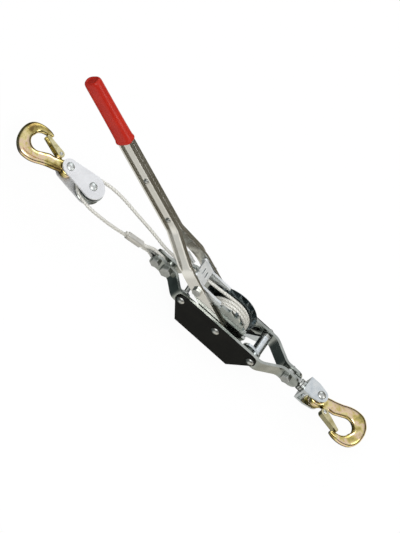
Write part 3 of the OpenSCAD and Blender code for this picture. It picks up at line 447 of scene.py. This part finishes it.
# A hook lies in x and y with its pin at the origin: its inner and outer edges from the eye to the
# tip, and the share of the full thickness at each of their points.
BOWL_AT, BOWL_IN, HOOK_HALF = (51, -3), 11.6, 5.75
EYE_OUT, PIN_BORE = 12, 4.08
LATCH_AT, EAR_HALF, LATCH_BORE = (18, -10.5), 3.2, 1.65
EAR_OUT, ROOT_OUT, ROOT_UP = 3.4, 4.2, 4.5
INSIDE = ([(6, -9), (16, -5), (23, -2.2), (30, -1.2), (37, 2.4)]
          + [(BOWL_AT[0] + BOWL_IN * math.cos(math.radians(a)),
              BOWL_AT[1] + BOWL_IN * math.sin(math.radians(a)))
             for a in (124, 104, 84, 64, 44, 24, 4, -16, -34)]
          + [(58.6, -14.6), (55, -18.5), (50.5, -21), (45, -22.2), (40.5, -23.4), (37.6, -25.4)])
OUTSIDE = [(5, 9.5), (14, 13.2), (24, 16.4), (33, 20.2), (42, 24.8),
           (50, 27.6), (56.5, 28.4), (63, 28.2), (69, 26), (73.8, 21.6), (77.6, 15.6), (79.8, 8.2),
           (80.4, 0), (79.6, -8.4), (76.6, -17.4), (71, -24.6), (63, -28.8), (54, -30.6), (45, -30.2),
           (38.6, -28.6)]
HALVES = [1] * 14 + [0.97, 0.92, 0.86, 0.8, 0.7, 0.45]


def crowned_hook(node, place):
    """A drop-forged hook: crowned bar round the bowl, domed eye, ears for the latch pin."""
    rings = []
    for a, b, half in zip(curve([Vector((*p, 0)) for p in INSIDE], 5),
                          curve([Vector((*p, 0)) for p in OUTSIDE], 5),
                          curve([Vector((h, 0, 0)) for h in HALVES], 5)):
        mid, across = (a + b) / 2, (b - a).normalized()
        ring = []
        for w, h in oval((b - a).length / 2, HOOK_HALF * half.x, 2.5):
            p = mid + across * w
            ring.append(place(p.x, p.y, h))
        rings.append(ring)
    hook = lofted(node + "_forged", rings)
    eye = round_bar(0, 0, EYE_OUT, 2 * HOOK_HALF, place)
    run(eye, "BEVEL", width=3 * MM, segments=5, limit_method="ANGLE", angle_limit=math.radians(40))
    ears = round_bar(*LATCH_AT, EAR_OUT, 2 * EAR_HALF, place)
    root = round_bar(LATCH_AT[0], LATCH_AT[1] + ROOT_UP, ROOT_OUT, 2 * EAR_HALF, place)
    pick(hook)
    for other in (eye, ears, root):
        other.select_set(True)
    bpy.ops.object.join()
    run(hook, "REMESH", mode="VOXEL", voxel_size=0.6 * MM, adaptivity=0)
    run(hook, "SMOOTH", factor=0.5, iterations=8)
    for x, y, radius in ((0, 0, PIN_BORE), (*LATCH_AT, LATCH_BORE)):
        bore = round_bar(x, y, radius, 40, place, 48)
        run(hook, "BOOLEAN", operation="DIFFERENCE", solver="EXACT", object=bore)
        bpy.data.objects.remove(bore)
    pick(hook)
    bpy.ops.object.shade_smooth_by_angle(angle=SMOOTH_BELOW)
    return settle(hook, node)


CLEVIS_PIN_X = 163
HOOK_RIVET_X, BLOCK_Z = -287, 12
LOAD_TURN = math.radians(182.5)


def in_anchor(x, y, z):
    """A point of the anchor hook, measured from its pin."""
    return at(CLEVIS_PIN_X + x, y, z)


def in_load(x, y, z):
    """A point of the load hook, measured from its rivet."""
    return at(HOOK_RIVET_X + x * math.cos(LOAD_TURN) - y * math.sin(LOAD_TURN),
              x * math.sin(LOAD_TURN) + y * math.cos(LOAD_TURN), BLOCK_Z + z)


crowned_hook("anchor_hook", in_anchor)
crowned_hook("load_hook", in_load)

# Grip: place along the lever, half width, half thickness and squareness of each ring.
GRIP = [(311.0, 9.6, 7.2, 8), (308.3, 9.6, 7.2, 8), (308.0, 10.6, 8.0, 5), (308.2, 11.9, 9.4, 3.4),
        (309.2, 12.45, 9.95, 3.2), (311.0, 12.5, 10.0, 3.2), (313.0, 12.15, 9.6, 3.2),
        (316.0, 11.75, 9.25, 3.2), (330.0, 11.6, 9.1, 3.1), (352.0, 11.5, 9.05, 3.0),
        (380.0, 11.55, 9.1, 2.9), (404.0, 11.7, 9.2, 2.8), (409.6, 11.65, 9.15, 2.7),
        (411.9, 11.2, 8.7, 2.6), (413.3, 10.3, 7.9, 2.6), (413.95, 9.2, 6.8, 2.6),
        (413.8, 8.3, 5.9, 2.6), (413.0, 7.6, 5.3, 2.6), (412.2, 7.0, 4.8, 2.6), (412.0, 5.0, 3.2, 2.4),
        (412.0, 1.5, 1.0, 2.2)]
grip_rings = [[on_lever(ring.x, t, w) for w, t in oval(ring.y, ring.z, ring.w, 64)]
              for ring in curve([Vector(r) for r in GRIP], 4)]
grip = lofted("lever_grip_dipped", grip_rings)
pick(grip)
bpy.ops.object.shade_smooth()
settle(grip, "lever_grip")


# ---------------------------------------------------------------- rope

def smooth_line(points, gap):
    """A smooth line through the points, cut at even steps of about gap."""
    fine = curve(points, 12)
    run_to = [0.0]
    for p, q in zip(fine, fine[1:]):
        run_to.append(run_to[-1] + (q - p).length)
    count = max(2, round(run_to[-1] / gap))
    out, j = [], 0
    for i in range(count + 1):
        s = run_to[-1] * i / count
        while j < len(fine) - 2 and run_to[j + 1] < s:
            j += 1
        t = (s - run_to[j]) / max(run_to[j + 1] - run_to[j], 1e-12)
        out.append(fine[j].lerp(fine[j + 1], t))
    return out, run_to[-1]


def swept(name, line, reach, step, lay):
    """A tube along the line: reach holds its radius round one ring, and the ring turns once
    in each lay. A UV map runs along the tube and round it."""
    n = len(reach)
    side = (line[1] - line[0]).orthogonal().normalized()
    verts, faces, uvs = [], [], []
    for i, p in enumerate(line):
        ahead = (line[min(i + 1, len(line) - 1)] - line[max(i - 1, 0)]).normalized()
        side = (side - ahead * side.dot(ahead)).normalized()
        other = ahead.cross(side)
        for k in range(n):
            a = 2 * math.pi * (k / n + step * i / lay)
            verts.append(p + reach[k] * (math.cos(a) * side + math.sin(a) * other))
    for i in range(len(line) - 1):
        for k in range(n):
            a, b = i * n + k, i * n + (k + 1) % n
            faces.append((a, b, b + n, a + n))
            u0, u1 = i * step / lay, (i + 1) * step / lay
            uvs.append(((u0, k / n), (u0, (k + 1) / n), (u1, (k + 1) / n), (u1, k / n)))
    last = (len(line) - 1) * n
    faces.append(tuple(range(n - 1, -1, -1)))
    faces.append(tuple(last + k for k in range(n)))
    mesh = bpy.data.meshes.new(name)
    mesh.from_pydata(verts, [], faces)
    uv = mesh.uv_layers.new(name="lay")
    for f, corners in enumerate(uvs):
        for c, value in enumerate(corners):
            uv.data[mesh.polygons[f].loop_start + c].uv = value
    mesh.validate()
    obj = bpy.data.objects.new(name, mesh)
    bpy.context.scene.collection.objects.link(obj)
    pick(obj)
    bpy.ops.object.shade_smooth_by_angle(angle=math.radians(70))
    return obj


ROPE = 4.8  # over the strands, in millimetres
ROPE_LAY = 30
STRANDS, POINTS_A_STRAND = 6, 6
WIRES_A_LAY, WIRES_ROUND = 18.0, 42.0
ROPE_STEP, SPRING_STEP = 1.4, 0.6
SPRING_WIRE = 1.2


def laid_rope(name, points):
    """Wire rope: strands laid round each other along the line."""
    line, length = smooth_line(points, ROPE_STEP * MM)
    radius = ROPE / 2 * MM
    mid, small = radius * 2 / 3, radius / 3
    reach = []
    for k in range(STRANDS * POINTS_A_STRAND):
        d = ((k / POINTS_A_STRAND) % 1 - 0.5) * 2 * math.pi / STRANDS
        crown = mid * math.cos(d) + math.sqrt(max(small ** 2 - (mid * math.sin(d)) ** 2, 0))
        reach.append(max(crown, radius * 0.86))
    return swept(name, line, reach, length / (len(line) - 1), ROPE_LAY * MM), line, length


def spring(name, points, node):
    """A wound spring of round wire."""
    line, length = smooth_line(points, SPRING_STEP * MM)
    wire = [SPRING_WIRE / 2 * MM] * 12
    return settle(swept(name, line, wire, length / (len(line) - 1), 1.0), node)


def wire_lines(mat):
    """Fine wires across each strand, from the rope's own UV map, with painted shade darkening the grooves
    between the wires.
    """
    nt = mat.node_tree
    skin = nt.nodes["Principled BSDF"]
    uv = nt.nodes.new("ShaderNodeUVMap")
    uv.uv_map = "lay"
    split = nt.nodes.new("ShaderNodeSeparateXYZ")
    nt.links.new(uv.outputs[0], split.inputs[0])
    along = maths(nt, "MULTIPLY", split.outputs["X"], WIRES_A_LAY)
    across = node_of(nt, "Math")
    across.operation = "MULTIPLY_ADD"
    across.inputs[1].default_value = WIRES_ROUND
    nt.links.new(split.outputs["Y"], across.inputs[0])
    nt.links.new(along, across.inputs[2])
    wave = maths(nt, "PINGPONG", across.outputs[0], 0.5)
    dent = node_of(nt, "Bump", Strength=0.4, Distance=0.25 * MM)
    nt.links.new(wave, dent.inputs["Height"])
    nt.links.new(dent.outputs[0], skin.inputs["Normal"])
    # painted shade: the colour is darkest where the wave, and so the bump, is lowest, in the grooves
    # between the wires
    painted_groove_shade = ramp_of(nt, wave, [(0.0, (0.60, 0.59, 0.53)), (0.16, (0.82, 0.81, 0.75)),
                               (0.5, (0.90, 0.89, 0.83))])
    nt.links.new(painted_groove_shade, skin.inputs["Base Color"])


STRAND_WIRE = finish("rope_strand", 0.35, [(0.3, (0.6, 0.6, 0.6)), (0.7, (0.8, 0.8, 0.8))],
                     5, (0.30, 0.46), 0.3, 0.02)
wire_lines(STRAND_WIRE)


def dress_rope(obj):
    """Gives a laid rope its strand finish."""
    obj.data.materials.append(STRAND_WIRE)


# The rope winds on the drum at radius WIND, and its free end comes on at the angle START.
WIND, START, TURNS, PITCH = 30.2, math.radians(95), 3, 5.3
START_COS, START_SIN = math.cos(START), math.sin(START)
RUN = [(-171.1, -11.5, 5.4), (-175.8, -12.6, 6), (-188, -16.4, 7.9), (-203, -20.2, 10.3),
       (-218, -22.4, 11.8), (-232, -22.8, 12), (-244, -20.8, 12), (-253.4, -17.2, 12),
       (-260, -13, 12), (-264.2, -6.6, 12), (-265.4, 0, 12), (-264.2, 6.6, 12), (-260, 13, 12),
       (-253, 18.4, 12), (-244, 22, 12), (-233, 24.6, 12), (-221, 26, 12), (-206, 25.4, 12.4),
       (-190, 22.8, 13), (-173, 19.4, 13.6), (-155, 16, 14.4), (-138, 12, 15.4), (-122, 7.4, 16.8),
       (-108, 5.4, 18.4), (-94, 5.6, 20), (-78, 6.2, 21.8), (-60, 6.9, 23.85), (-42, 7.4, 25.9),
       (-24, 7.7, 27.9)]
top = Vector((WIND * START_COS, TURNS * PITCH / 2, WIND * START_SIN))
away = Vector((-START_SIN, 0, START_COS))
join = top + ROPE * away
run_points = [at(*p) for p in RUN] + [at(*(join + 6 * away)), at(*(join + 0.05 * away))]

free_rope, rope_path, rope_length = laid_rope("free_rope", run_points)
dress_rope(free_rope)

wound = [at(*join)]
for k in range(TURNS * 24 + 1):
    a = START - 2 * math.pi * k / 24
    wound.append(at(WIND * math.cos(a), TURNS * PITCH / 2 - PITCH * k / 24, WIND * math.sin(a)))
bottom = Vector((WIND * START_COS, -TURNS * PITCH / 2, WIND * START_SIN))
wound.append(at(*(bottom - ROPE * away)))
drum_rope = laid_rope("drum_rope", wound)[0]
dress_rope(drum_rope)
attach(drum_rope, "drum")
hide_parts("wound_rope")

# The eye goes round the thimble at radius LINE, and its two legs enter the ferrule STRAND off its middle.
ROPE_BOLT_X = -117
REACH, STRAND, LINE = 30.5, 2.8, 8.3
SLOPE, YAW, ROLL = math.radians(10), math.radians(13), math.radians(-3)


def in_eye(x, y, z):
    """A point of the rope's eye, measured from the rope bolt."""
    return at(ROPE_BOLT_X - x * math.cos(SLOPE) + z * math.sin(SLOPE), y,
              x * math.sin(SLOPE) + z * math.cos(SLOPE))


def in_ferrule(x, z):
    """A point of the middle plane of the ferrule."""
    q = x * math.cos(ROLL) - z * math.sin(ROLL)
    return in_eye(REACH + q * math.cos(YAW), -6 - q * math.sin(YAW),
                  x * math.sin(ROLL) + z * math.cos(ROLL))


open_at = math.acos(LINE / math.hypot(REACH - 5, STRAND)) + math.atan2(STRAND, REACH - 5)
leg = STRAND + 0.7
leg_slope = (LINE * math.sin(open_at) - leg) / (REACH - 7 - LINE * math.cos(open_at))
bend_x = REACH - 16
bend_z = leg + 9 * leg_slope
loop = [in_ferrule(-0.02, STRAND), in_ferrule(-2.5, STRAND), in_ferrule(-7, leg),
        in_eye(bend_x, -0.2, bend_z)]
for k in range(15):
    a = open_at + k * (2 * math.pi - 2 * open_at) / 14
    loop.append(in_eye(LINE * math.cos(a), 0, LINE * math.sin(a)))
loop += [in_eye(bend_x, -0.2, -bend_z), in_ferrule(-7, -leg), in_ferrule(-2.5, -STRAND),
         in_ferrule(-0.02, -STRAND)]
rope_eye = laid_rope("rope_eye", loop)[0]
rope_end = laid_rope("rope_end", [in_ferrule(x, STRAND) for x in (24.5, 26.5, 28.5)])[0]
for part in (rope_eye, rope_end):
    dress_rope(part)
pick(rope_eye)
rope_end.select_set(True)
bpy.ops.object.join()
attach(rope_eye, "frame")
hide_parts("wire_rope_eye")


# ---------------------------------------------------------------- springs

# The stop pawl's coil goes round the rear sleeve.
SLEEVE_X, COIL, COIL_FROM, COIL_TO, COIL_TURNS = 61, 6.82, 16.6, 20.7, 3
rise = (COIL_TO - COIL_FROM) / (COIL_TURNS * 24)
coil = [at(SLEEVE_X + COIL, COIL_FROM, -1.2)]
for k in range(COIL_TURNS * 24 + 1):
    a = 2 * math.pi * k / 24
    coil.append(at(SLEEVE_X + COIL * math.cos(a), COIL_FROM + rise * k, COIL * math.sin(a)))
coil.append(at(SLEEVE_X + COIL, COIL_TO, 1.2))
spring("stop_pawl_coil", coil, "stop_pawl_spring")

# The drive pawl's spring runs straight from the pawl's web to the lever's tab, on the lever's own
# axes. Its coil starts at PULL_FROM and is PULL_SHARE long, as shares of the whole, and between it
# and each end the wire has one more point, LEAD_IN or LEAD_OUT from that end.
PULL_TURNS, PULL_COIL = 9, 2.0
LEAD_IN, PULL_FROM, PULL_SHARE, LEAD_OUT = 0.192, 0.32, 0.42, 0.156
near_end, far_end = Vector((87, -9.2, 9.6)), Vector((128.6, -2.806, 2))
line_up = far_end - near_end
span = line_up.length
line_up.normalize()
sideways = line_up.cross(Vector((0, 0, 1))).normalized()
upright = line_up.cross(sideways)
coil = [near_end, near_end + line_up * span * LEAD_IN]
for k in range(PULL_TURNS * 16 + 1):
    a = 2 * math.pi * k / 16
    along = span * (PULL_FROM + PULL_SHARE * k / (PULL_TURNS * 16))
    coil.append(near_end + line_up * along
                + PULL_COIL * (math.cos(a) * sideways + math.sin(a) * upright))
coil += [far_end - line_up * span * LEAD_OUT, far_end]
spring("drive_pawl_coil", [on_lever(*p) for p in coil], "drive_pawl_spring")


# ---------------------------------------------------------------- close

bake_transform(free_rope)
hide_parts("wire_rope_run")

# what no piece stands for keeps its own mesh
for name, obj in NODES.items():
    if not obj.hide_render:
        dress(obj, SLOT_OF[name])
